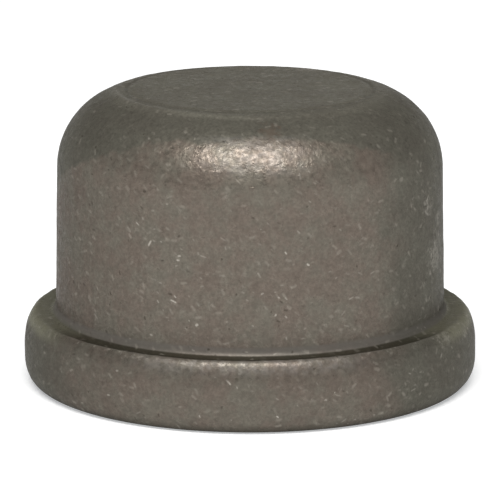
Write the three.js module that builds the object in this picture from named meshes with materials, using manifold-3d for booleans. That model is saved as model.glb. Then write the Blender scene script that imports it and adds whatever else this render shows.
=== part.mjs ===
// Banded pipe cap: a one-piece malleable-iron casting with a 1-11.5 NPT female thread.
// Units are millimetres, +Z is up. The origin is the centre of the open rim face, and the closed end
// is at +Z.

import * as THREE from 'three';
import { mergeVertices } from 'three/addons/utils/BufferGeometryUtils.js';
import Module from 'manifold-3d';

// Outside of the casting
const overallHeight = 30.3;
const bandRadius = 23.3;
const bandHeight = 7.2;
const bandLowerCorner = { radial: 1.6, axial: 2.6 };
const bandUpperCorner = { radial: 1.15, axial: 3.3 };
const bandFilletRadius = 0.6;
const bodyRadiusAtBand = 20.02;
const bodyRadiusAtCrown = 19.75;
const crownCornerRadius = 8.0;

// Inside of the casting
const chamferRadiusAtRim = 16.95;
const threadEndHeight = 16.0;
const chamberStartHeight = 17.6;
const chamberRadius = 16.4;
const chamberRoofHeight = 26.8;
const chamberCornerRadius = 4.5;

// Tapered pipe thread, 1-11.5 NPT: 60 degree flanks, 1 in 16 taper on the diameter
const threadPitch = 25.4 / 11.5;
const pitchRadiusAtRim = 15.73;
const taperPerHeight = 1 / 32;
const crestFlat = 0.09 * threadPitch;
const rootFlat = 0.04 * threadPitch;
const halfFlankAngle = Math.PI / 6;

// Facets around the axis, shared by the casting and the thread so that their edges line up
const facetsPerTurn = 48;

// How far the thread cutter stands inside the bore, how much of that its sloping flanks take up, and
// how far it runs past both ends of the bore
const cutterInset = 0.7;
const flankInset = 0.04;
const cutterOverrun = 2.3;

const grooveWidthAtCrest = threadPitch - crestFlat;
const grooveDepth = (grooveWidthAtCrest - rootFlat) / 2 / Math.tan(halfFlankAngle);
const pitchLineDepth = (grooveWidthAtCrest - threadPitch / 2) / 2 / Math.tan(halfFlankAngle);
const minorRadiusAtRim = pitchRadiusAtRim - pitchLineDepth;

function minorRadius(height) {
  return minorRadiusAtRim - taperPerHeight * height;
}

// Points along an elliptical arc, given by its centre, its two radii and its end angles in quarter turns.
function arc(centre, radii, fromQuarter, toQuarter, steps) {
  const points = [];
  for (let i = 0; i <= steps; i += 1) {
    const angle = (fromQuarter + (toQuarter - fromQuarter) * i / steps) * Math.PI / 2;
    const radius = centre[0] + radii[0] * Math.cos(angle);
    const height = centre[1] + radii[1] * Math.sin(angle);
    points.push(new THREE.Vector2(radius, height));
  }
  return points;
}

// Outer skin from the rim face up to the middle of the crown.
function outerOutline() {
  const lowerCorner = arc(
    [bandRadius - bandLowerCorner.radial, bandLowerCorner.axial],
    [bandLowerCorner.radial, bandLowerCorner.axial],
    -1, 0, 4,
  );
  const upperCorner = arc(
    [bandRadius - bandUpperCorner.radial, bandHeight - bandUpperCorner.axial],
    [bandUpperCorner.radial, bandUpperCorner.axial],
    0, 1, 5,
  );
  const fillet = arc(
    [bodyRadiusAtBand + bandFilletRadius, bandHeight + bandFilletRadius],
    [bandFilletRadius, bandFilletRadius],
    3, 2, 3,
  );
  const crownCorner = arc(
    [bodyRadiusAtCrown - crownCornerRadius, overallHeight - crownCornerRadius],
    [crownCornerRadius, crownCornerRadius],
    0, 1, 8,
  );
  return [...lowerCorner, ...upperCorner, ...fillet, ...crownCorner, new THREE.Vector2(0, overallHeight)];
}

// Inner wall from the middle of the chamber roof down to the chamfer at the rim.
function innerOutline() {
  const chamferHeight = (chamferRadiusAtRim - minorRadiusAtRim) / (1 - taperPerHeight);
  const roofCorner = arc(
    [chamberRadius - chamberCornerRadius, chamberRoofHeight - chamberCornerRadius],
    [chamberCornerRadius, chamberCornerRadius],
    1, 0, 4,
  );
  return [
    new THREE.Vector2(0, chamberRoofHeight),
    ...roofCorner,
    new THREE.Vector2(chamberRadius, chamberStartHeight),
    new THREE.Vector2(minorRadius(threadEndHeight), threadEndHeight),
    new THREE.Vector2(minorRadius(chamferHeight), chamferHeight),
    new THREE.Vector2(chamferRadiusAtRim, 0),
  ];
}

// Right-hand helix that climbs one pitch a turn on the bore's cone. Its steps fall at equal angles, and its
// frames point straight out from the axis and straight along it.
class BoreHelix extends THREE.Curve {
  constructor(startHeight, endHeight) {
    super();
    this.startHeight = startHeight;
    this.endHeight = endHeight;
    this.turns = (endHeight - startHeight) / threadPitch;
  }

  getPoint(t, target = new THREE.Vector3()) {
    const angle = 2 * Math.PI * this.turns * t;
    const height = this.startHeight + (this.endHeight - this.startHeight) * t;
    const radius = minorRadius(height);
    return target.set(radius * Math.cos(angle), radius * Math.sin(angle), height);
  }

  getPointAt(t, target) {
    return this.getPoint(t, target);
  }

  computeFrenetFrames(steps) {
    const tangents = [];
    const normals = [];
    const binormals = [];
    for (let i = 0; i <= steps; i += 1) {
      const angle = 2 * Math.PI * this.turns * i / steps;
      tangents.push(new THREE.Vector3(-Math.sin(angle), Math.cos(angle), 0));
      normals.push(new THREE.Vector3(Math.cos(angle), Math.sin(angle), 0));
      binormals.push(new THREE.Vector3(0, 0, -1));
    }
    return { tangents, normals, binormals };
  }
}

// Bar that cuts the thread groove: 60 degree flanks that start just inside the bore, and straight sides
// further in so that one turn stays clear of the next, swept along the helix from below the rim into the
// open chamber.
function threadCutterGeometry() {
  const halfWidth = grooveWidthAtCrest / 2 + flankInset * Math.tan(halfFlankAngle);
  const section = new THREE.Shape();
  section.moveTo(-cutterInset, -halfWidth);
  section.lineTo(-flankInset, -halfWidth);
  section.lineTo(grooveDepth, -rootFlat / 2);
  section.lineTo(grooveDepth, rootFlat / 2);
  section.lineTo(-flankInset, halfWidth);
  section.lineTo(-cutterInset, halfWidth);
  section.closePath();

  const turns = Math.round((chamberStartHeight + 2 * cutterOverrun) / threadPitch);
  const path = new BoreHelix(-cutterOverrun, turns * threadPitch - cutterOverrun);
  return new THREE.ExtrudeGeometry(section, {
    steps: turns * facetsPerTurn,
    extrudePath: path,
    bevelEnabled: false,
  });
}

const wasm = await Module();
wasm.setup();

// Closed geometry to solid: only the positions are kept, so that shared vertices merge.
function toSolid(geometry) {
  const bare = geometry.clone();
  bare.deleteAttribute('normal');
  bare.deleteAttribute('uv');
  const merged = mergeVertices(bare, 1e-5);
  return new wasm.Manifold(new wasm.Mesh({
    numProp: 3,
    vertProperties: new Float32Array(merged.attributes.position.array),
    triVerts: new Uint32Array(merged.index.array),
  }));
}

function toGeometry(solid) {
  const mesh = solid.getMesh();
  const geometry = new THREE.BufferGeometry();
  geometry.setAttribute('position', new THREE.BufferAttribute(mesh.vertProperties, 3));
  geometry.setIndex(new THREE.BufferAttribute(mesh.triVerts, 1));
  geometry.computeVertexNormals();
  return geometry;
}

// Cup turned from one closed outline. A lathe turns about Y, so it is tipped up to stand along Z.
function blankCastingGeometry() {
  const outline = [...outerOutline(), ...innerOutline()];
  outline.push(outline[0].clone());
  const geometry = new THREE.LatheGeometry(outline, facetsPerTurn);
  geometry.rotateX(Math.PI / 2);
  return geometry;
}

function capCasting() {
  const tapped = toSolid(blankCastingGeometry()).subtract(toSolid(threadCutterGeometry()));
  const material = new THREE.MeshStandardMaterial({ color: 0x6a6459, roughness: 0.45, metalness: 0.6 });
  const mesh = new THREE.Mesh(toGeometry(tapped), material);
  mesh.name = 'cap_casting';
  return mesh;
}

const pipeCap = new THREE.Group();
pipeCap.name = 'pipe_cap';
pipeCap.add(capCasting());

export default pipeCap;
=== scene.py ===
"""Banded pipe cap in black malleable iron, standing on its open rim.

One closed skin stands for the casting: the cast outside, the faced rim, the tapered pipe thread and the
chamber behind it. Sizes and places on the cap are in millimetres, and meshes and the camera get them in
metres. The cap's front faces -Y, and heights are above the rim.
"""
import functools
import math

import bpy
import numpy as np
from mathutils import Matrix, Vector


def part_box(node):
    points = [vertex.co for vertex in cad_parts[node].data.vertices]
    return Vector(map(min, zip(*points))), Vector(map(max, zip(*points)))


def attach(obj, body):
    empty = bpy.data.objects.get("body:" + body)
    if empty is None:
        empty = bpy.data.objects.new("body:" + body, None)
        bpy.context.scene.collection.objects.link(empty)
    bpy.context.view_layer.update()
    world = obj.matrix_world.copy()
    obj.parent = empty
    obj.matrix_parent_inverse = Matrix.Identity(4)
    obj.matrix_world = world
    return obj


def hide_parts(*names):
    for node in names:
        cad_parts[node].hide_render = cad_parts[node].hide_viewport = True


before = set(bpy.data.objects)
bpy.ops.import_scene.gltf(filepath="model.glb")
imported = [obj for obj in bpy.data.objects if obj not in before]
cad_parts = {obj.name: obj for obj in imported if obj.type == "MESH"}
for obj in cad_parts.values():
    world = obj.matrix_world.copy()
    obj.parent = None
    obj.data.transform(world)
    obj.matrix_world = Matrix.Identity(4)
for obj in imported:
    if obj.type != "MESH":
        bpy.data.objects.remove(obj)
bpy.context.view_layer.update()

MM = 0.001

# ---------------------------------------------------------------- sizes of the casting
casting_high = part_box("cap_casting")[1]
BAND_RADIUS = casting_high[0] / MM
OVERALL_HEIGHT = casting_high[2] / MM

BAND_HEIGHT = 7.2
BODY_RADIUS_AT_BAND = 20.02
BODY_RADIUS_AT_CROWN = 19.75
CROWN_CORNER = 8.0

# rounded edges of the band: how far each reaches along the radius and along the axis
BAND_LOWER_CORNER = (1.6, 2.6)
BAND_UPPER_CORNER = (1.3, 3.3)
BAND_FILLET = (0.6, 0.95)

# low rings on the skin: middle radius, rise (less than 0 in a groove) and half width
BAND_LIP = (22.3, 0.18, 0.58)
LIP_CHIPS = (22.3, 1.0, 0.5)
BAND_GROOVE = (20.75, -0.14, 0.17)
CROWN_JOINT = (12.45, -0.08, 0.27)
CROWN_RIDGE = (13.75, 0.22, 0.36)

CHAMFER_RADIUS = 16.95
THREAD_END = 16.0
CHAMBER_START = 17.6
CHAMBER_RADIUS = 16.4
CHAMBER_ROOF = 26.8
CHAMBER_CORNER = 4.5

# 1-11.5 NPT: 60 degree flanks, 1 in 16 taper on the diameter
PITCH = 25.4 / 11.5
PITCH_RADIUS = 15.73
TAPER = 1 / 32
CREST_FLAT = 0.09 * PITCH
ROOT_FLAT = 0.04 * PITCH
FLANK_SLOPE = math.tan(math.radians(30))
GROOVE_DEPTH = (PITCH - CREST_FLAT - ROOT_FLAT) / 2 / FLANK_SLOPE
MINOR_RADIUS = PITCH_RADIUS - (PITCH / 2 - CREST_FLAT) / 2 / FLANK_SLOPE

# ---------------------------------------------------------------- mesh density
COLUMNS = 360
FLANK_ROWS = 4
THREAD_TURNS = 7
SHARP_EDGE_DEGREES = 38


# ---------------------------------------------------------------- curves and noise
def ring(radius, middle, rise, half_width):
    """A bell curve across the radius: rise times e to minus the square of distance over half width."""
    return rise * np.exp(-((radius - middle) / half_width) ** 2)


def smooth(value, low, high):
    """0 below low and 1 above high, with the curve 3t^2 - 2t^3 in between."""
    share = np.clip((value - low) / (high - low), 0, 1)
    return share * share * (3 - 2 * share)


def relief(places, rise, cell, seed):
    """Gradient noise of about -rise to rise. Random slopes sit on a cubic lattice of the given cell size.
    Each place adds up the eight slopes around it, weighted by the fade 6t^5 - 15t^4 + 10t^3 on each axis."""
    lattice = 32
    full_swing = 1.6
    slopes = np.random.default_rng(seed).normal(size=(lattice, lattice, lattice, 3))
    slopes /= np.linalg.norm(slopes, axis=-1, keepdims=True)
    scaled = places / cell
    low = np.floor(scaled).astype(int)
    inside = scaled - low
    fade = inside ** 3 * (inside * (inside * 6 - 15) + 10)
    total = np.zeros(places.shape[:-1])
    for corner in np.ndindex(2, 2, 2):
        at = (low + corner) % lattice
        slope = slopes[at[..., 0], at[..., 1], at[..., 2]]
        reach = inside - corner
        weight = np.prod(np.where(corner, fade, 1 - fade), axis=-1)
        total += weight * np.sum(slope * reach, axis=-1)
    return rise * (full_swing * total)


# ---------------------------------------------------------------- outline of the casting
def line(start, end, count):
    """count points from start towards end, without end itself."""
    return np.linspace(start, end, count, endpoint=False)


def arc(centre, radii, from_quarter, to_quarter, count):
    """count points along an ellipse between two angles in quarter turns, without the last one."""
    angle = np.linspace(from_quarter, to_quarter, count, endpoint=False) * np.pi / 2
    return np.stack([centre[0] + radii[0] * np.cos(angle), centre[1] + radii[1] * np.sin(angle)], -1)


def outer_outline():
    """(radius, height) from the middle of the crown, over the corner, down the body, round the band and
    in across the rim face to the chamfer. Also the number of points before the rim face. The rows lie
    closer in the upper part of the crown's corner, where the ridge stands."""
    crown_centre = (BODY_RADIUS_AT_CROWN - CROWN_CORNER, OVERALL_HEIGHT - CROWN_CORNER)
    crown_radii = (CROWN_CORNER, CROWN_CORNER)
    past_ridge = 0.72
    fillet_centre = (BODY_RADIUS_AT_BAND + BAND_FILLET[0], BAND_HEIGHT + BAND_FILLET[1])
    upper_centre = (BAND_RADIUS - BAND_UPPER_CORNER[0], BAND_HEIGHT - BAND_UPPER_CORNER[1])
    lower_centre = (BAND_RADIUS - BAND_LOWER_CORNER[0], BAND_LOWER_CORNER[1])
    cast = np.concatenate([
        line((0, OVERALL_HEIGHT), (crown_centre[0], OVERALL_HEIGHT), count=14),
        arc(crown_centre, crown_radii, 1, past_ridge, count=22),
        arc(crown_centre, crown_radii, past_ridge, 0, count=27),
        line((BODY_RADIUS_AT_CROWN, crown_centre[1]), (BODY_RADIUS_AT_BAND, fillet_centre[1]), count=34),
        arc(fillet_centre, BAND_FILLET, 2, 3, count=8),
        line((fillet_centre[0], BAND_HEIGHT), (upper_centre[0], BAND_HEIGHT), count=16),
        arc(upper_centre, BAND_UPPER_CORNER, 1, 0, count=16),
        line((BAND_RADIUS, upper_centre[1]), (BAND_RADIUS, lower_centre[1]), count=4),
        arc(lower_centre, BAND_LOWER_CORNER, 0, -1, count=12),
    ])
    rim_face = line((lower_centre[0], 0), (CHAMFER_RADIUS, 0), count=6)
    return np.concatenate([cast, rim_face]), len(cast)


def chamber_outline(start_height):
    """(radius, height) from just above the bore's last row up the chamber's wall and in to the middle of the
    roof."""
    corner = (CHAMBER_RADIUS - CHAMBER_CORNER, CHAMBER_ROOF - CHAMBER_CORNER)
    return np.concatenate([
        line((CHAMBER_RADIUS, start_height), (CHAMBER_RADIUS, corner[1]), count=9)[1:],
        arc(corner, (CHAMBER_CORNER, CHAMBER_CORNER), 0, 1, count=8),
        line((corner[0], CHAMBER_ROOF), (0, CHAMBER_ROOF), count=6),
        [(0, CHAMBER_ROOF)],
    ])


def turned(radial, axial, angle):
    """Turns radial and axial measures round the axis: x = radial cos, y = radial sin, z = axial."""
    return np.stack([radial * np.cos(angle), radial * np.sin(angle), axial + 0 * angle], -1)


def swept(outline, angle):
    """Places and outward normals of an outline that is turned round the axis. A normal is at right angles
    to the outline's run from one point to the next."""
    run = np.gradient(outline, axis=0)
    out = np.stack([-run[:, 1], run[:, 0]], -1)
    out /= np.linalg.norm(out, axis=-1, keepdims=True)
    return turned(outline[:, 0:1], outline[:, 1:2], angle), turned(out[:, 0:1], out[:, 1:2], angle)


# ---------------------------------------------------------------- relief of the cast outside
def crown_rings(places):
    """The joint of the pattern's loose end plate, cast into the crown: a shallow groove, and outside it a
    low ridge that is full on the left of the front. The ridge falls in a straight line from full to nothing
    as x + y/2 goes from -12 to 4, and again as y goes from -3 to 1, but never below the least share each."""
    x, y, height = np.moveaxis(places, -1, 0)
    radius = np.hypot(x, y)
    least = 0.15
    left_front = np.clip((4 - x - 0.5 * y) / 16, least, 1) * np.clip((1 - y) / 4, least, 1)
    rings = left_front * ring(radius, *CROWN_RIDGE) + ring(radius, *CROWN_JOINT)
    return np.where(height > OVERALL_HEIGHT - 3, rings, 0)


def shoulder_rings(places):
    """Height added to the top of the band: a low lip near its outer edge and a narrow groove at the body's
    foot. Both fade to a quarter from the front round to the sides."""
    x, y, height = np.moveaxis(places, -1, 0)
    radius = np.hypot(x, y)
    fade = 0.25 + 0.75 * smooth(-y, 7, 15)
    on_top = np.clip((height - 5.2) / 1.4, 0, 1) * (height < BAND_HEIGHT + 0.5)
    return (ring(radius, *BAND_LIP) + ring(radius, *BAND_GROOVE)) * on_top * fade


def cast_relief(places):
    """How far the cast skin stands off its outline: a slow waver, sand-mould waves and fine peel all over,
    and chips along the band's lip."""
    radius, height = np.hypot(places[..., 0], places[..., 1]), places[..., 2]
    waver = relief(places, 0.022, cell=9.0, seed=3)
    waves = relief(places, 0.022, cell=2.6, seed=5)
    peel = relief(places, 0.016, cell=1.1, seed=8)
    chips = relief(places, 0.045, cell=1.7, seed=14) + relief(places, 0.03, cell=0.8, seed=15)
    on_lip = ring(radius, *LIP_CHIPS) * (np.abs(height - BAND_HEIGHT) < 1)
    return waver + waves + peel + on_lip * chips


def outside_rows(angle):
    """Places of the cast outside and the rim face, row by row, and how many of the rows are cast. The
    relief fades out over the last cast rows, because the rim face is cut flat."""
    fading_rows = 6
    outline, cast_rows = outer_outline()
    places, out = swept(outline, angle)
    row = np.arange(len(outline))[:, None]
    cut_flat = np.clip((row - (cast_rows - fading_rows)) / fading_rows, 0, 1)
    stand_off = cast_relief(places) * (1 - cut_flat) + crown_rings(places)
    raised = places + out * stand_off[..., None]
    raised[..., 2] += shoulder_rings(places)
    return raised, cast_rows


# ---------------------------------------------------------------- bore and chamber
def bore_rows(share):
    """Heights of the bore's rows, one column per share of a turn, in pitches above the rim.

    Between a first and a last stretch the rows follow the helix, so that each thread edge lies on a row.
    The first stretch is squeezed to nothing at the start of a turn and the last one at its end, which
    brings the rows back to level rings below and above. Rows within a pitch fall on the flanks' ends."""
    flank = (1 - (CREST_FLAT + ROOT_FLAT) / PITCH) / 2
    root = ROOT_FLAT / PITCH
    steps = np.concatenate([
        line(0, flank, FLANK_ROWS),
        line(flank + root, 2 * flank + root, FLANK_ROWS),
        [2 * flank + root],
    ])
    first = steps[:, None] * share
    turns = (np.arange(THREAD_TURNS)[:, None] + steps[None, :]).ravel()[:, None] + share
    last = THREAD_TURNS + share + steps[:, None] * (1 - share)
    top = np.full((1, COLUMNS), THREAD_TURNS + 1.0)
    return np.concatenate([first, turns, last, top]), len(steps)


def bore_radius(height, share):
    """Largest of three walls: the chamfer's cone, the tapered thread and the cone that opens out into the
    chamber. The thread is the crest cone plus a groove whose depth falls off along the 60 degree flanks."""
    groove_middle = (PITCH - CREST_FLAT) / 2
    along = np.mod(height / PITCH - share, 1.0) * PITCH
    depth = (groove_middle - np.abs(along - groove_middle)) / FLANK_SLOPE
    thread = MINOR_RADIUS - TAPER * height + np.clip(depth, 0, GROOVE_DEPTH)
    end_radius = MINOR_RADIUS - TAPER * THREAD_END
    opening = np.clip((height - THREAD_END) / (CHAMBER_START - THREAD_END), 0, 1)
    opened = np.where(height > THREAD_END, end_radius + opening * (CHAMBER_RADIUS - end_radius), 0)
    return np.maximum(np.maximum(CHAMFER_RADIUS - height, thread), opened)


def bore_places(angle, share):
    """Places of the bore, row by row, and how many rows one pitch takes."""
    pitches, rows_per_pitch = bore_rows(share)
    height = pitches * PITCH
    return turned(bore_radius(height, share), height, angle), rows_per_pitch


def chamber_places(angle, start_height):
    """Places of the chamber's wall and roof, row by row, as rough as the sand core left them."""
    places, out = swept(chamber_outline(start_height), angle)
    sand = relief(places, 0.06, cell=2.2, seed=11) + relief(places, 0.03, cell=0.9, seed=12)
    return places + out * sand[..., None]


# ---------------------------------------------------------------- the closed skin
def vertex_grid(row_count, first_bore, last_bore, rows_per_pitch):
    """Vertex numbers of the skin, one row for each row of places, with a closing column at the end.

    The first and the last row are one vertex each. The bore's rows close on the row one pitch up, and the
    rows that are squeezed together at the start of its first turn share one vertex."""
    grid = np.arange(row_count * COLUMNS).reshape(row_count, COLUMNS)
    grid[0] = grid[0, 0]
    grid[-1] = grid[-1, 0]
    grid[first_bore:first_bore + rows_per_pitch + 1, 0] = grid[first_bore, 0]
    row = np.arange(row_count)
    in_bore = (row >= first_bore) & (row <= last_bore)
    closes_on = np.where(in_bore, np.minimum(row + rows_per_pitch, last_bore), row)
    return np.concatenate([grid, grid[closes_on, 0][:, None]], axis=1)


def grid_triangles(grid):
    """Two triangles for each cell of a vertex grid, and the row that each lies in. Triangles that have two
    corners in one vertex are dropped."""
    a, b, c, d = grid[:-1, :-1], grid[1:, :-1], grid[1:, 1:], grid[:-1, 1:]
    triangles = np.stack([np.stack([a, b, c], -1), np.stack([a, c, d], -1)]).reshape(-1, 3)
    row = np.arange(len(a))[None, :, None]
    row = np.broadcast_to(row, (2, *a.shape)).ravel()
    whole = (triangles != np.roll(triangles, 1, axis=1)).all(axis=1)
    return triangles[whole], row[whole]


def casting_mesh():
    """Vertices in metres, triangles and material slots of the whole closed skin: slot 0 is cast, 1 is cut.

    The rows run from the crown's middle, over the outside, through the bore to the roof's middle, and the
    columns run round the axis from the back."""
    share = (np.arange(COLUMNS) / COLUMNS)[None, :]
    angle = share * 2 * np.pi + np.pi / 2
    outside, cast_rows = outside_rows(angle)
    bore, rows_per_pitch = bore_places(angle, share)
    chamber = chamber_places(angle, start_height=bore[-1, 0, 2])

    places = np.concatenate([outside, bore, chamber])
    places[0] = places[0].mean(axis=0)
    places[-1] = places[-1].mean(axis=0)
    first_bore, last_bore = len(outside), len(outside) + len(bore) - 1
    grid = vertex_grid(len(places), first_bore, last_bore, rows_per_pitch)
    triangles, row = grid_triangles(grid)
    cut = (row >= cast_rows - 1) & (row < last_bore)

    used, triangles = np.unique(triangles, return_inverse=True)
    return places.reshape(-1, 3)[used] * MM, triangles.reshape(-1, 3), cut.astype(int)


def mesh_object(name, vertices, triangles, slots, materials):
    """Puts worked-out vertices and triangles into one smooth-shaded mesh object at the origin."""
    mesh = bpy.data.meshes.new(name)
    mesh.vertices.add(len(vertices))
    mesh.vertices.foreach_set("co", vertices.astype(np.float32).ravel())
    mesh.loops.add(triangles.size)
    mesh.loops.foreach_set("vertex_index", triangles.astype(np.int32).ravel())
    mesh.polygons.add(len(triangles))
    mesh.polygons.foreach_set("loop_start", np.arange(0, triangles.size, 3, dtype=np.int32))
    mesh.polygons.foreach_set("material_index", slots.astype(np.int32))
    for material in materials:
        mesh.materials.append(material)
    mesh.update(calc_edges=True)
    mesh.validate()
    mesh.set_sharp_from_angle(angle=math.radians(SHARP_EDGE_DEGREES))
    made = bpy.data.objects.new(name, mesh)
    bpy.context.collection.objects.link(made)
    return made


# ---------------------------------------------------------------- node trees
class Nodes:
    """One material's node tree. The places, sizes and distances given to it are in millimetres. Each call
    adds a node and returns the output that is used next."""

    def __init__(self, name):
        self.material = bpy.data.materials.new(name)
        self.material.use_nodes = True
        self.tree = self.material.node_tree
        self.shader = self.tree.nodes["Principled BSDF"]
        metres = self.tree.nodes.new("ShaderNodeTexCoord").outputs["Object"]
        self.place = self.scaled(metres, 1 / MM)
        split = self.add("ShaderNodeSeparateXYZ", {"Vector": self.place})
        self.x, self.y, self.z = (split.outputs[axis] for axis in "XYZ")
        squares = self.total(self.product(self.x, self.x), self.product(self.y, self.y))
        self.radius = self.math("SQRT", squares)

    def add(self, kind, inputs, **settings):
        node = self.tree.nodes.new(kind)
        for key, value in settings.items():
            setattr(node, key, value)
        for key, value in inputs.items():
            self.set(node.inputs[key], value)
        return node

    def set(self, socket, value):
        """Links an output to a socket, or sets a number, a vector or a (red, green, blue) colour on it."""
        if isinstance(value, bpy.types.NodeSocket):
            self.tree.links.new(value, socket)
        elif socket.type == "RGBA":
            socket.default_value = (*value, 1.0)
        else:
            socket.default_value = value

    def shaded(self, **sockets):
        """Sets the shader's sockets, named with _ for each space, and returns the material."""
        for name, value in sockets.items():
            self.set(self.shader.inputs[name.replace("_", " ")], value)
        return self.material

    # ------------------------------------------------ numbers and vectors
    def math(self, operation, first, second=0.0):
        return self.add("ShaderNodeMath", {0: first, 1: second}, operation=operation).outputs["Value"]

    def product(self, *values):
        return functools.reduce(functools.partial(self.math, "MULTIPLY"), values)

    def total(self, *values):
        return functools.reduce(functools.partial(self.math, "ADD"), values)

    def largest(self, *values):
        return functools.reduce(functools.partial(self.math, "MAXIMUM"), values)

    def vector(self, operation, *vectors, output="Vector"):
        return self.add("ShaderNodeVectorMath", dict(enumerate(vectors)), operation=operation).outputs[output]

    def scaled(self, vector, factor):
        """A vector, or a colour, times a factor."""
        node = self.add("ShaderNodeVectorMath", {0: vector, "Scale": factor}, operation="SCALE")
        return node.outputs["Vector"]

    def between(self, value, low, high, to_low=0.0, to_high=1.0):
        """Maps low..high to to_low..to_high, smoothly and clamped."""
        return self.add(
            "ShaderNodeMapRange",
            {"Value": value, "From Min": low, "From Max": high, "To Min": to_low, "To Max": to_high},
            interpolation_type="SMOOTHSTEP",
        ).outputs["Result"]

    def falls(self, value, low, high):
        """1 below low and 0 above high."""
        return self.between(value, low, high, 1.0, 0.0)

    def window(self, value, rise, fall):
        """0 outside the two (low, high) stretches rise and fall, and 1 between them."""
        return self.product(self.between(value, *rise), self.falls(value, *fall))

    def mixed_number(self, share, first, second):
        """A number part way from first to second."""
        node = self.add("ShaderNodeMix", {}, data_type="FLOAT")
        return self.blended(node, share, first, second)

    def mix(self, share, first, second):
        """A colour part way from first to second."""
        node = self.add("ShaderNodeMix", {}, data_type="RGBA", blend_type="MIX")
        return self.blended(node, share, first, second)

    def laid(self, under, over, share, strength=1.0):
        """A colour laid over another one, as thick as share times strength says."""
        return self.mix(self.product(share, strength), under, over)

    def blended(self, node, share, first, second):
        for key, value in (("Factor", share), ("A", first), ("B", second)):
            self.set(node.inputs[key], value)
        return node.outputs["Result"]

    # ------------------------------------------------ patterns
    def noise(self, size, detail=2.0, roughness=0.5, vector=None, output="Fac"):
        """Fractal noise from about 0 to 1, whose largest lumps are about size apart."""
        return self.add(
            "ShaderNodeTexNoise",
            {"Vector": vector or self.place, "Scale": 1 / size, "Detail": detail, "Roughness": roughness},
        ).outputs[output]

    def drift(self, size, detail, roughness=0.5):
        """Fractal noise about 0, from -0.5 to 0.5."""
        return self.math("SUBTRACT", self.noise(size, detail, roughness), 0.5)

    def warped(self, reach):
        """The place pushed about by up to reach, which makes round marks ragged."""
        push = self.noise(0.4, detail=1.0, output="Color")
        centred = self.vector("SUBTRACT", push, (0.5, 0.5, 0.5))
        return self.vector("ADD", self.place, self.scaled(centred, 2 * reach))

    def cells(self, size, vector):
        """Scattered points about size apart, one to a cell."""
        return self.add("ShaderNodeTexVoronoi", {"Vector": vector, "Scale": 1 / size}).outputs

    def drawn(self, mark, chance, weight, kept):
        """A mark that only the kept part of the cells shows, each with its own weight."""
        return self.product(mark, self.product(self.math("LESS_THAN", chance, kept), weight))

    def cuts(self, size, reach, width, kept):
        """Short scratches that lie every way, mostly near level. A thin disc stands at each of many points
        about size apart, with its own tilt, and a scratch shows where the skin cuts through it. reach is a
        disc's radius and width its thickness. Only the kept part of the points has a disc, and most of
        those are faint."""
        tilt_spread, tilt_least = (1.6, 1.6, 1.0), (-0.45, -0.8, 0.2)
        cells = self.cells(size, self.place)
        offset = self.vector("SUBTRACT", self.place, cells["Position"])
        tilt = self.vector("NORMALIZE", self.vector("MULTIPLY_ADD", cells["Color"], tilt_spread, tilt_least))
        across = self.math("ABSOLUTE", self.vector("DOT_PRODUCT", offset, tilt, output="Value"))
        along = self.vector("LENGTH", offset, output="Value")
        mark = self.product(
            self.falls(across, 0.2 * width, 0.8 * width),
            self.falls(along, 0.5 * reach, reach),
        )
        chance = self.add("ShaderNodeTexWhiteNoise", {"Vector": cells["Color"]}).outputs
        weight = self.add("ShaderNodeSeparateColor", {"Color": chance["Color"]}).outputs["Green"]
        weight = self.between(self.product(weight, weight), 0.0, 1.0, 0.15, 1.0)
        return self.drawn(mark, chance["Value"], weight, kept)

    def pinholes(self, size, share, kept):
        """Small round marks at scattered points about size apart. Each reaches out to share of that
        distance, and only the kept part of the points has one."""
        cells = self.cells(size, self.warped(0.15))
        chance = self.add("ShaderNodeSeparateColor", {"Color": cells["Color"]}).outputs
        mark = self.falls(cells["Distance"], share * 0.5, share * 1.3)
        weight = self.between(chance["Green"], 0.0, 1.0, 0.35, 1.0)
        return self.drawn(mark, chance["Red"], weight, kept)

    def near(self, spot, reach, fray):
        """1 at a spot, falling to 0 at reach from it, with an edge frayed by noise about 0."""
        far = self.vector("DISTANCE", self.place, spot, output="Value")
        far = self.total(far, self.product(fray, 3.0 * reach))
        return self.falls(far, 0.3 * reach, reach)

    def circle(self, middle, reach):
        """1 on a circle round the axis with the given radius, falling to 0 at reach to either side."""
        off = self.math("ABSOLUTE", self.math("SUBTRACT", self.radius, middle))
        return self.falls(off, 0.05, reach)

    def bump(self, height, distance, strength, normal=None):
        inputs = {"Height": height, "Distance": distance * MM, "Strength": strength}
        if normal is not None:
            inputs["Normal"] = normal
        return self.add("ShaderNodeBump", inputs).outputs["Normal"]


# ---------------------------------------------------------------- the cast skin
# The brown is partly painted warm light from the front, the olive partly painted cooler shade.
BROWN_OXIDE_LIT = ((0.141, 0.118, 0.098), (0.143, 0.131, 0.108))
OLIVE_OXIDE_SHADED = ((0.128, 0.121, 0.100), (0.139, 0.134, 0.110))
# the ledge's greener oxide, lighter as painted light on the band's upward face
LEDGE_OXIDE_LIT = ((0.163, 0.160, 0.118), (0.150, 0.146, 0.112))
FILLET_OXIDE = (0.138, 0.130, 0.119)
# a pale line painted on the crown's ridge as a highlight
RIDGE_PAINTED_HIGHLIGHT = (0.205, 0.198, 0.175)
RUST_STAIN = (0.112, 0.085, 0.066)
SCUFFED_OXIDE = (0.36, 0.34, 0.30)
# painted shade for the hollow beside the body
LEDGE_PAINTED_SHADE = (0.055, 0.050, 0.036)
# painted shade for the crevice between the band and the body
CREVICE_PAINTED_SHADE = (0.024, 0.022, 0.014)
# painted shade above the fillet and painted shadow along the foot
LOW_PAINTED_SHADE = (0.055, 0.050, 0.040)
# pale grains for a painted highlight
PAINTED_HIGHLIGHT_IRON = (0.275, 0.263, 0.255)
DARK_PIT = (0.04, 0.034, 0.026)
BRUSHED_IRON = (0.40, 0.37, 0.32)
BARE_IRON = (0.46, 0.43, 0.38)

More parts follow.
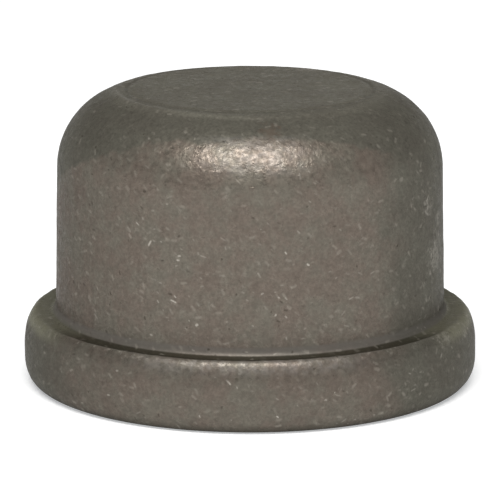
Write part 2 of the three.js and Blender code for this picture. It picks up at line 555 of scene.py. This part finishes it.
# where something has scuffed the skin, and how far each scuff reaches
SCUFFS = [
    ((6.4, 11.0, 30.2), 2.2),
    ((18.7, -6.6, 14.3), 2.7),
    ((18.9, -5.6, 18.0), 1.1),
    ((19.5, -11.2, 7.0), 1.5),
    ((21.4, -7.0, 7.0), 1.7),
    ((18.0, -8.6, 19.6), 1.3),
]


class CastSkin(Nodes):
    """As-cast, annealed iron: a brown oxide with a coarse, glittering grain on the front of the body and the
    band, and a smoother olive one over the crown, the right side and the band's left end. The brown is
    partly painted warm light and the olive partly painted cooler shade. Pale grains paint a highlight on
    the crown's corner and the band's lip, painted shade darkens the crevice above the band, and pin-holes,
    scratches and scuffs lie over all of it. over_band and under_top are heights from the band's top and
    down from the crown, and past_lip is the radius less the lip's."""

    def __init__(self):
        super().__init__("cast_skin")
        self.over_band = self.math("SUBTRACT", self.z, BAND_HEIGHT)
        self.under_top = self.math("SUBTRACT", OVERALL_HEIGHT, self.z)
        self.past_lip = self.math("SUBTRACT", self.radius, BAND_LIP[0])
        self.wander = self.drift(4.5, detail=4, roughness=0.6)
        self.fray = self.drift(0.8, detail=3, roughness=0.6)
        self.aside = self.total(self.x, self.product(self.wander, 6.0))
        self.patches = self.between(self.noise(3.5, detail=5, roughness=0.7), 0.36, 0.64)
        self.olive = self.olive_share()
        self.fillet = self.window(self.over_band, rise=(0.05, 0.25), fall=(0.7, 1.1))
        self.crevice = self.crevice_share()
        self.lip_front = self.product(
            self.window(self.over_band, rise=(-1.6, -0.4), fall=(0.4, 1.0)),
            self.between(self.past_lip, -0.3, 0.0),
            self.falls(self.y, -21.5, -18.5),
        )

    def olive_share(self):
        """The olive oxide lies above a plane that dips towards the front, beyond a line on the right, and on
        the left end of the band. At the back the plane's edge wanders up and down much more. Besides the
        oxides' own tones, the brown is partly painted warm light from the front and the olive partly painted
        cooler shade."""
        dip = 0.53
        slow = self.product(self.drift(12, detail=3), self.between(self.y, -6, 4, 0.0, 30))
        level = self.total(self.z, self.product(self.y, dip), self.product(self.wander, 3.5), self.fray, slow)
        crown = self.between(level, 19.2, 19.9)
        right_side = self.between(self.aside, 12, 16, 0.0, 0.9)
        left = self.between(self.aside, -21, -17, 0.9, 0.0)
        left_end = self.product(left, self.falls(self.over_band, 0.0, 0.4))
        return self.largest(crown, right_side, left_end)

    def crevice_share(self):
        """The narrow corner between the band's lip and the body, on the front only."""
        outer_edge = self.total(self.past_lip, self.product(self.fray, 0.5))
        return self.product(
            self.window(self.over_band, rise=(-0.5, -0.3), fall=(0.10, 0.22)),
            self.falls(outer_edge, -0.50, -0.25),
            self.between(self.y, -14, -8, 0.80, 0.0),
        )

    def oxide(self):
        """The two oxides in two tones each, with a mottle and a fine grain. Painted shade darkens them to
        both sides and darkens the olive below the crown's flat, and painted light lifts the brown near the
        crown's corner. They are also darker on the band."""
        brown_painted_light = self.between(self.under_top, 4.8, 8.3, 1.09, 1.0)
        olive_painted_shade = self.between(self.under_top, 0.25, 0.8, 1.0, 0.83)
        # painted shade towards both sides and on the olive below the crown's flat, painted light on the brown
        # near the crown's corner
        shade = self.product(
            self.between(self.aside, 9, 17, 1.0, 0.89),
            self.between(self.x, -20, -7, 0.84, 1.0),
            self.between(self.over_band, -0.3, 0.3, 0.895, 1.0),
            self.mixed_number(self.olive, brown_painted_light, olive_painted_shade),
        )
        mottle = self.between(self.noise(0.9, detail=5, roughness=0.75), 0.34, 0.66, 0.92, 1.07)
        grain = self.between(self.noise(0.3, detail=3, roughness=0.65), 0.32, 0.68, 0.87, 1.11)
        # brown partly painted warm light, olive partly painted cooler shade
        brown, olive = self.mix(self.patches, *BROWN_OXIDE_LIT), self.mix(self.patches, *OLIVE_OXIDE_SHADED)
        return self.scaled(self.mix(self.olive, brown, olive), self.product(shade, mottle, grain))

    def joint_lines(self, colour):
        """A painted shade as a dark line on the outer edge of the crown's joint ring, and a painted highlight
        as a pale line on the inner edge of the ridge, thinner to the right and on the front half only."""
        on_crown = self.falls(self.under_top, 0.6, 0.9)
        joint = self.product(self.circle(CROWN_JOINT[0] + 0.2, reach=0.35), on_crown)
        ridge = self.product(
            self.circle(CROWN_RIDGE[0] - 0.1, reach=0.40),
            on_crown,
            self.between(self.x, -8, 4, 1.0, 0.3),
            self.falls(self.y, -3, 2),
        )
        # painted shade on the outer wall of the joint's groove
        colour = self.scaled(colour, self.between(joint, 0.0, 1.0, 1.0, 0.84))
        # painted highlight along the ridge's inner edge
        return self.laid(colour, RIDGE_PAINTED_HIGHLIGHT, ridge, strength=0.32)

    def stains(self, colour):
        """A rusty stain on the front of the crown's corner, and the pale scuffs."""
        rust = self.near((2.0, -15.8, 29.1), 1.3, self.fray)
        scuffed = self.largest(*(self.near(spot, reach, self.fray) for spot, reach in SCUFFS))
        scraped = self.between(self.noise(0.5, detail=4, roughness=0.7), 0.42, 0.64, 0.12, 1.0)
        colour = self.laid(colour, RUST_STAIN, rust, strength=0.55)
        return self.laid(colour, SCUFFED_OXIDE, self.product(scuffed, scraped), strength=0.5)

    def band_oxide_and_shading(self, colour):
        """The top of the band has a greener oxide at the sides and the back, lighter there as painted light
        on its upward face, with painted shade next to the body at the sides. The crevice is painted nearly
        black as shade, the fillet is even, and there is painted shade above it, most on the right, and a
        painted shadow along the foot."""
        ledge = self.product(
            self.window(self.over_band, rise=(-1.4, -0.3), fall=(0.25, 0.6)),
            self.between(self.y, -14, -8),
        )
        hollow_shade = self.product(
            ledge,
            self.falls(self.past_lip, -0.8, 0.0),
            self.between(self.y, -8, 4, 0.50, 0.05),
        )
        # painted shade above the fillet, most on the right
        shade_above_fillet = self.product(
            self.window(self.over_band, rise=(0.05, 0.3), fall=(0.4, 3.8)),
            self.between(self.x, 11, 18, 0.08, 0.40),
        )
        # painted shadow along the foot, where the band meets the floor
        foot_edge = self.total(self.z, self.product(self.fray, 0.6))
        foot = self.between(foot_edge, 0.2, 1.3, 0.8, 0.0)
        # greener oxide on the band's top, lightened there as painted light
        colour = self.laid(colour, self.mix(self.patches, *LEDGE_OXIDE_LIT), ledge)
        # painted shade in the hollow next to the body at the sides
        colour = self.laid(colour, LEDGE_PAINTED_SHADE, hollow_shade)
        # painted shade: the crevice nearly black
        colour = self.laid(colour, CREVICE_PAINTED_SHADE, self.crevice)
        colour = self.laid(colour, FILLET_OXIDE, self.fillet, strength=0.6)
        # painted shade above the fillet and painted shadow along the foot
        return self.laid(colour, LOW_PAINTED_SHADE, self.largest(shade_above_fillet, foot))

    def highlight_grains(self, colour):
        """Pale grains laid where the key light's highlight falls, on the front of the crown's corner and of
        the band's lip: a painted highlight.
        """
        corner = self.product(
            self.near((0.4, -18.0, 27.0), 7.5, self.product(self.fray, 0.15)),
            self.window(self.under_top, rise=(1.5, 1.9), fall=(4.3, 5.7)),
        )
        grains = self.between(self.noise(0.75, detail=3, roughness=0.6), 0.40, 0.58, 0.05, 0.235)
        # painted highlight where the key light falls
        return self.laid(colour, PAINTED_HIGHLIGHT_IRON, self.product(self.largest(corner, self.lip_front), grains))

    def dark_marks(self):
        """Pin-holes and dark nicks."""
        return self.largest(
            self.pinholes(0.7, share=0.17, kept=0.10),
            self.cuts(0.8, reach=0.28, width=0.13, kept=0.20),
        )

    def bright_marks(self):
        """Scratches and sparks of bare iron, in patches, and fainter on the crown, towards the sides and in
        the crevice. Worn spots along the band's lip join them."""
        scratches = self.largest(
            self.cuts(1.0, reach=0.44, width=0.13, kept=0.18),
            self.cuts(0.6, reach=0.22, width=0.13, kept=0.20),
            self.product(self.pinholes(0.5, share=0.15, kept=0.03), 0.7),
        )
        patchy = self.product(
            self.between(self.noise(6.5, detail=3), 0.42, 0.60, 0.30, 1.0),
            self.between(self.under_top, 6.3, 11.3, 0.35, 1.0),
            self.between(self.math("ABSOLUTE", self.x), 9, 16, 1.0, 0.35),
            self.falls(self.crevice, 0.0, 0.4),
        )
        lip = self.product(
            self.between(self.over_band, -0.45, -0.1),
            self.between(self.past_lip, -0.25, 0.0),
            self.between(self.noise(1.7, detail=5, roughness=0.75), 0.55, 0.68),
        )
        return self.largest(self.product(scratches, patchy), self.product(lip, 0.45))

    def marked(self, colour, dark, bright):
        """The dark marks, faint brush strokes, and the bright marks over both."""
        brushed = self.cuts(0.85, reach=0.45, width=0.22, kept=0.60)
        colour = self.laid(colour, DARK_PIT, dark, strength=0.6)
        colour = self.laid(colour, BRUSHED_IRON, brushed, strength=0.22)
        return self.laid(colour, BARE_IRON, bright, strength=0.78)

    def roughness(self):
        """Uneven, and rougher in the crevice, the fillet and on the front of the band's lip."""
        uneven = self.between(self.noise(0.5, detail=3, roughness=0.6), 0.32, 0.68, 0.23, 0.48)
        grimy = self.total(uneven, self.product(self.crevice, 0.25))
        even = self.mixed_number(self.fillet, grimy, 0.44)
        return self.total(even, self.product(self.lip_front, 0.08))

    def glint(self):
        """How metallic the skin is: it varies by grain on the brown oxide, and is low and even elsewhere."""
        grains = self.between(self.noise(0.6, detail=4, roughness=0.65), 0.34, 0.66, 0.31, 0.54)
        return self.mixed_number(self.largest(self.olive, self.fillet), grains, 0.32)

    def grain(self, dark, bright):
        """Peel and grit, weaker on the olive oxide, near the band and in the fillet, then the marks: the
        dark ones are sunk, and the bright ones stand a little proud."""
        coarse = self.product(
            self.between(self.noise(2.2, detail=2), 0.35, 0.65, 0.65, 1.0),
            self.between(self.olive, 0.0, 1.0, 1.0, 0.25),
            self.between(self.over_band, 0.3, 4.8, 0.55, 1.0),
            self.mixed_number(self.fillet, 1.0, 0.25),
        )
        peel = self.bump(self.noise(1.2, detail=2, roughness=0.5), 0.06, coarse)
        grit = self.bump(self.noise(0.62, detail=3, roughness=0.62), 0.085, coarse, peel)
        marks = self.math("SUBTRACT", self.product(bright, 0.3), dark)
        return self.bump(marks, 0.03, 0.7, grit)

    def made(self):
        """Layers the colour from the oxide outwards, and sets the gloss and the grain."""
        dark, bright = self.dark_marks(), self.bright_marks()
        colour = self.highlight_grains(self.band_oxide_and_shading(self.stains(self.joint_lines(self.oxide()))))
        return self.shaded(
            Base_Color=self.marked(colour, dark, bright),
            Roughness=self.roughness(),
            Metallic=self.glint(),
            Specular_IOR_Level=0.0,
            Specular_Tint=(0.65, 0.65, 0.65),
            Normal=self.grain(dark, bright),
        )


# ---------------------------------------------------------------- the other materials
FRESH_CUT = (0.33, 0.32, 0.30)
OIL_FILM = (0.20, 0.175, 0.145)
GRAPHITE = (0.11, 0.10, 0.09)
PAPER_WHITE = ((0.78, 0.79, 0.80), (0.80, 0.81, 0.82))
PAPER_GLOW = (0.96, 0.98, 1.0)


def cut_metal():
    """Tapped and faced iron: fine tool marks that run round the axis, bright on the cut, with a thin brown
    film of oil. The marks vary only with radius + height, so they are circles on every turned face."""
    n = Nodes("cut_metal")
    film = n.between(n.noise(6, detail=3), 0.4, 0.65)
    speckle = n.between(n.noise(0.3, detail=2), 0.3, 0.7, 0.0, 0.35)
    run = n.total(n.radius, n.z)
    across = n.add("ShaderNodeCombineXYZ", {"X": run}).outputs["Vector"]
    tool_marks = n.noise(0.22, detail=2, vector=across)
    return n.shaded(
        Base_Color=n.mix(speckle, n.mix(film, FRESH_CUT, OIL_FILM), GRAPHITE),
        Roughness=n.between(n.noise(1.5, detail=2), 0.3, 0.7, 0.3, 0.44),
        Metallic=0.8,
        Normal=n.bump(tool_marks, 0.012, 0.7),
    )


def floor_paper():
    """White studio paper with a slight tooth and a glow that keeps it white."""
    n = Nodes("floor_paper")
    tooth = n.between(n.noise(1.2, detail=2), 0.3, 0.7)
    return n.shaded(
        Base_Color=n.mix(tooth, *PAPER_WHITE),
        Roughness=0.9,
        Specular_IOR_Level=0.1,
        Emission_Color=PAPER_GLOW,
        Emission_Strength=0.42,
    )


# ---------------------------------------------------------------- studio
def place_camera():
    """A long lens 401 mm from the cap's middle and 13 degrees above the horizon, aimed slightly below it."""
    elevation = math.radians(12.95)
    dip = math.radians(0.253)
    distance = 401.2
    middle = Vector((0, 0, 15.145))
    back = Vector((0, -math.cos(elevation), math.sin(elevation)))
    data = bpy.data.cameras.new("camera")
    data.sensor_width = 36
    data.lens = 280.65
    data.clip_start = 0.01
    data.clip_end = 10
    camera = bpy.data.objects.new("camera", data)
    camera.location = (middle + back * distance) * MM
    camera.rotation_euler = (math.pi / 2 - elevation - dip, 0, 0)
    bpy.context.collection.objects.link(camera)
    bpy.context.scene.camera = camera


def softbox(name, azimuth, elevation, distance, size, power, colour):
    """A rectangular area light on a sphere round the cap, turned to face it. Azimuth 0 is the cap's front,
    positive to the right. Distance and size are in metres, and power is in watts."""
    a, e = math.radians(azimuth), math.radians(elevation)
    out = Vector((math.sin(a) * math.cos(e), -math.cos(a) * math.cos(e), math.sin(e)))
    middle = Vector((0, 0, 15 * MM))
    data = bpy.data.lights.new(name, "AREA")
    data.shape = "RECTANGLE"
    data.size, data.size_y = size
    data.energy = power
    data.color = colour
    light = bpy.data.objects.new(name, data)
    light.location = middle + out * distance
    light.rotation_euler = (-out).to_track_quat("-Z", "Y").to_euler()
    bpy.context.collection.objects.link(light)


def white_room():
    """World light by height alone: a low white wall all round, and a dark ceiling above it. The ramp's
    positions are sines of the height angle."""
    wall, ceiling = (0.15, 0.95), (0.28, 0.06)
    world = bpy.data.worlds.new("white_room")
    bpy.context.scene.world = world
    world.use_nodes = True
    tree = world.node_tree
    direction = tree.nodes.new("ShaderNodeTexCoord")
    split = tree.nodes.new("ShaderNodeSeparateXYZ")
    ramp = tree.nodes.new("ShaderNodeValToRGB")
    tree.links.new(direction.outputs["Generated"], split.inputs["Vector"])
    tree.links.new(split.outputs["Z"], ramp.inputs["Fac"])
    tree.links.new(ramp.outputs["Color"], tree.nodes["Background"].inputs["Color"])
    for stop, (position, grey) in zip(ramp.color_ramp.elements, (wall, ceiling)):
        stop.position = position
        stop.color = (grey, grey, grey, 1.0)


def lay_floor():
    """A flat sheet of paper, 3 m square, just clear of the rim."""
    half, level = 1.5, -0.02 * MM
    corners = [(-half, -half, level), (half, -half, level), (half, half, level), (-half, half, level)]
    mesh = bpy.data.meshes.new("floor")
    mesh.from_pydata(corners, [], [(0, 1, 2, 3)])
    mesh.materials.append(floor_paper())
    floor = bpy.data.objects.new("floor", mesh)
    bpy.context.collection.objects.link(floor)


# ---------------------------------------------------------------- scene
place_camera()
white_room()
lay_floor()
softbox("key_softbox", azimuth=-3, elevation=59.6, distance=2.0, size=(1.6, 0.95), power=51.0,
        colour=(1.0, 0.975, 0.95))

vertices, triangles, slots = casting_mesh()
casting = mesh_object("casting_skin", vertices, triangles, slots, [CastSkin().made(), cut_metal()])
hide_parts("cap_casting")
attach(casting, "root")

bpy.context.scene.view_settings.view_transform = "Standard"
